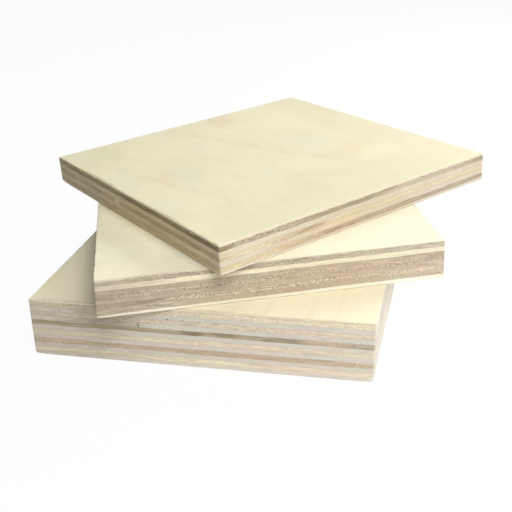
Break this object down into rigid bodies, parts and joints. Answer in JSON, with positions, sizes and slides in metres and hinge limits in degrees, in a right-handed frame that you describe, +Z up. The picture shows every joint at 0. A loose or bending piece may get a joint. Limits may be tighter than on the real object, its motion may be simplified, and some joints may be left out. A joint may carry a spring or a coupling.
{
  "type": "stack of square plywood boards",
  "caption": "Fanned stack of square plywood sample boards of different thickness, glued up from crosswise birch veneers.",
  "frame": {"origin": "middle of the bottom board's underside, on the surface the stack lies on", "axes": "+Z up through the stack, +X and +Y square to the bottom board's edges, -Y towards the front"},
  "size_m": [0.1428, 0.1506, 0.0386],
  "materials": {
    "face_veneer": "sanded, unfinished",
    "lengthwise_core_veneer": "sawn along the grain",
    "crosswise_core_veneer": "sawn across the grain",
    "brown_core_veneer": "sawn, from darker heartwood"
  },
  "bodies": {
    "root": {"bottom_board_back_veneer": "face_veneer", "bottom_board_core_veneer_1": "crosswise_core_veneer", "bottom_board_core_veneer_2": "lengthwise_core_veneer", "bottom_board_core_veneer_3": "brown_core_veneer", "bottom_board_core_veneer_4": "lengthwise_core_veneer", "bottom_board_core_veneer_5": "crosswise_core_veneer", "bottom_board_core_veneer_6": "lengthwise_core_veneer", "bottom_board_core_veneer_7": "brown_core_veneer", "bottom_board_core_veneer_8": "lengthwise_core_veneer", "bottom_board_core_veneer_9": "crosswise_core_veneer", "bottom_board_core_veneer_10": "lengthwise_core_veneer", "bottom_board_core_veneer_11": "crosswise_core_veneer", "bottom_board_face_veneer": "face_veneer", "middle_board_back_veneer": "face_veneer", "middle_board_core_veneer_1": "crosswise_core_veneer", "middle_board_core_veneer_2": "lengthwise_core_veneer", "middle_board_core_veneer_3": "crosswise_core_veneer", "middle_board_core_veneer_4": "lengthwise_core_veneer", "middle_board_core_veneer_5": "crosswise_core_veneer", "middle_board_core_veneer_6": "lengthwise_core_veneer", "middle_board_core_veneer_7": "brown_core_veneer", "middle_board_face_veneer": "face_veneer", "top_board_back_veneer": "face_veneer", "top_board_core_veneer_1": "brown_core_veneer", "top_board_core_veneer_2": "lengthwise_core_veneer", "top_board_core_veneer_3": "crosswise_core_veneer", "top_board_core_veneer_4": "lengthwise_core_veneer", "top_board_core_veneer_5": "brown_core_veneer", "top_board_face_veneer": "face_veneer"}
  },
  "joints": []
}
